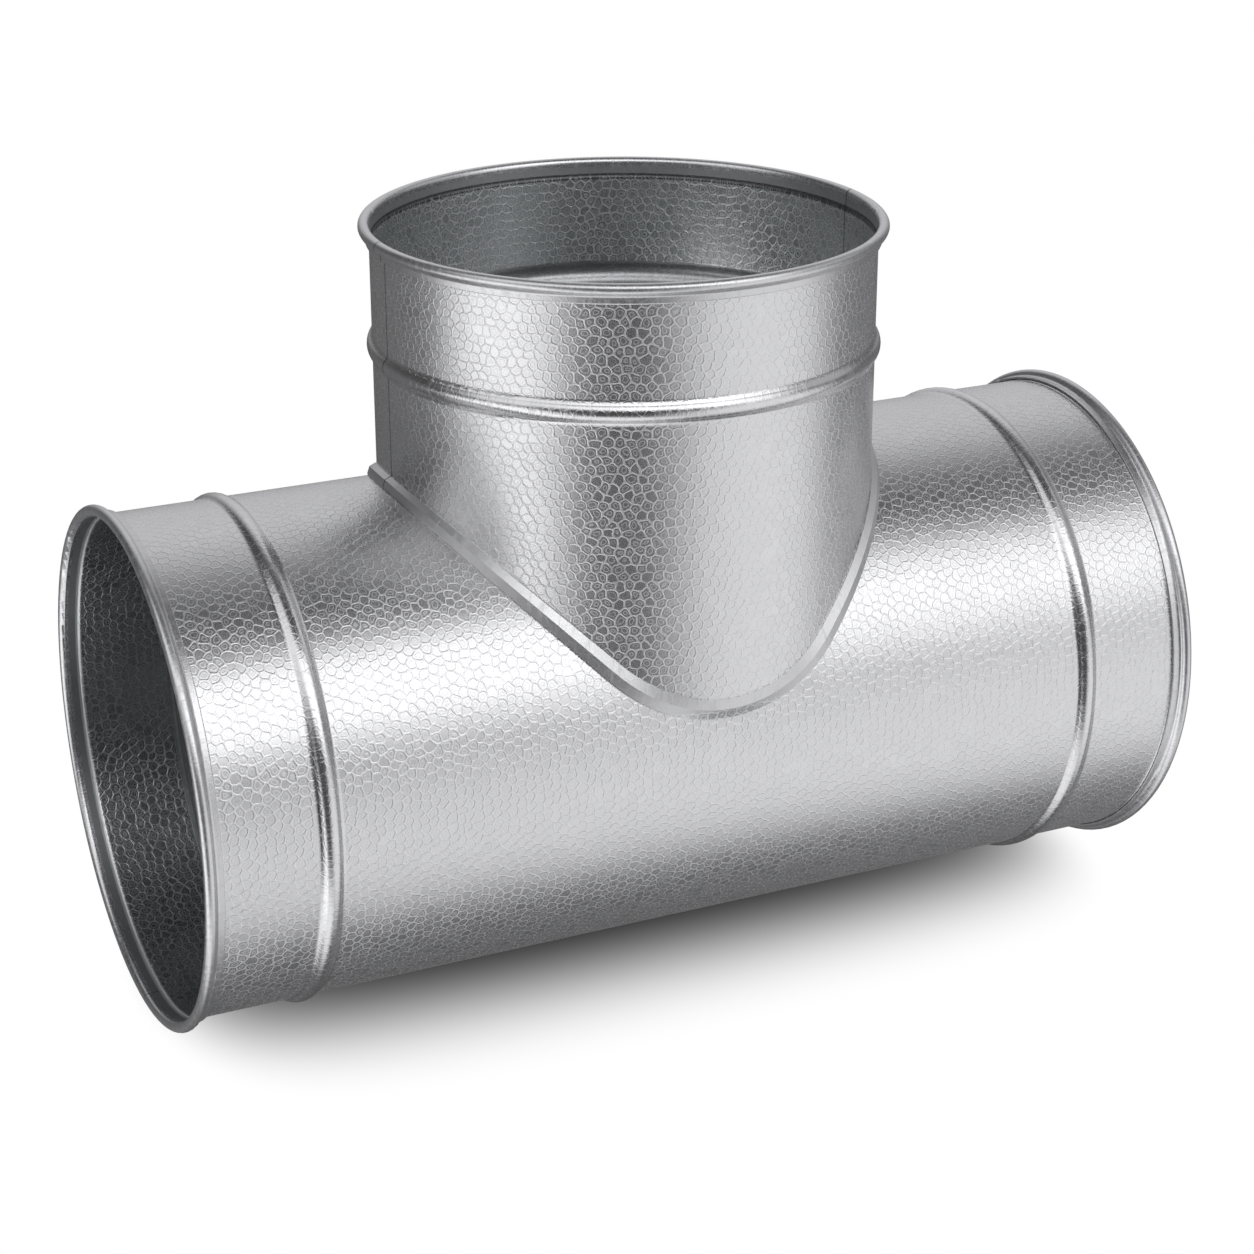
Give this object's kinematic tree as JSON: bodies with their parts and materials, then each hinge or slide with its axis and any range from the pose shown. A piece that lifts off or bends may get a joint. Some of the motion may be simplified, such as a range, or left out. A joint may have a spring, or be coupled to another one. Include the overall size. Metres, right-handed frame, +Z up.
{
  "type": "equal duct tee",
  "caption": "Equal duct tee in galvanised sheet steel: straight round run with a branch of the same bore from its middle, each end with a swaged bead and a rolled lip.",
  "frame": {"origin": "where the axis of the run and the axis of the branch cross", "axes": "+X along the run, +Z up along the branch, +Y across from the front half of the branch to the rear half"},
  "size_m": [0.43, 0.21, 0.305],
  "materials": {
    "galvanised_sheet": "hot-dip galvanised with an embossed spangle, semi-gloss"
  },
  "bodies": {
    "root": {"run_tube": "galvanised_sheet", "branch_front_half": "galvanised_sheet", "branch_rear_half": "galvanised_sheet"}
  },
  "joints": []
}
